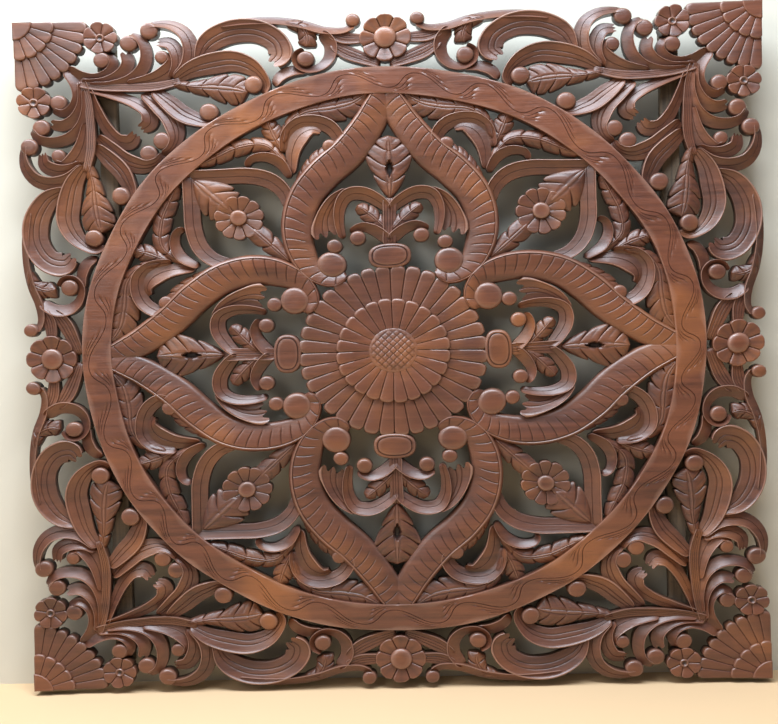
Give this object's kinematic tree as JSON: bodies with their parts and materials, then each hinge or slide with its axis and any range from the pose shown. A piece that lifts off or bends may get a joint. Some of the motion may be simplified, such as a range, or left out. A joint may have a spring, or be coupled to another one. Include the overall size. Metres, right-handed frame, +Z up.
{
  "type": "carved wall panel",
  "caption": "Pierced and relief-carved wooden wall panel with a central rosette, a ring, leafy scrolls and corner fans, on two upright back battens.",
  "frame": {"origin": "middle of the board's flat back, behind the central rosette", "axes": "+X to the right seen from the carved side, +Y out of the back towards the wall, +Z up"},
  "size_m": [1.2, 0.0503, 1.086],
  "materials": {
    "stained_wood": "satin",
    "batten_wood": "satin"
  },
  "bodies": {
    "root": {"carved_board": "stained_wood", "batten_left": "batten_wood", "batten_right": "batten_wood"}
  },
  "joints": []
}
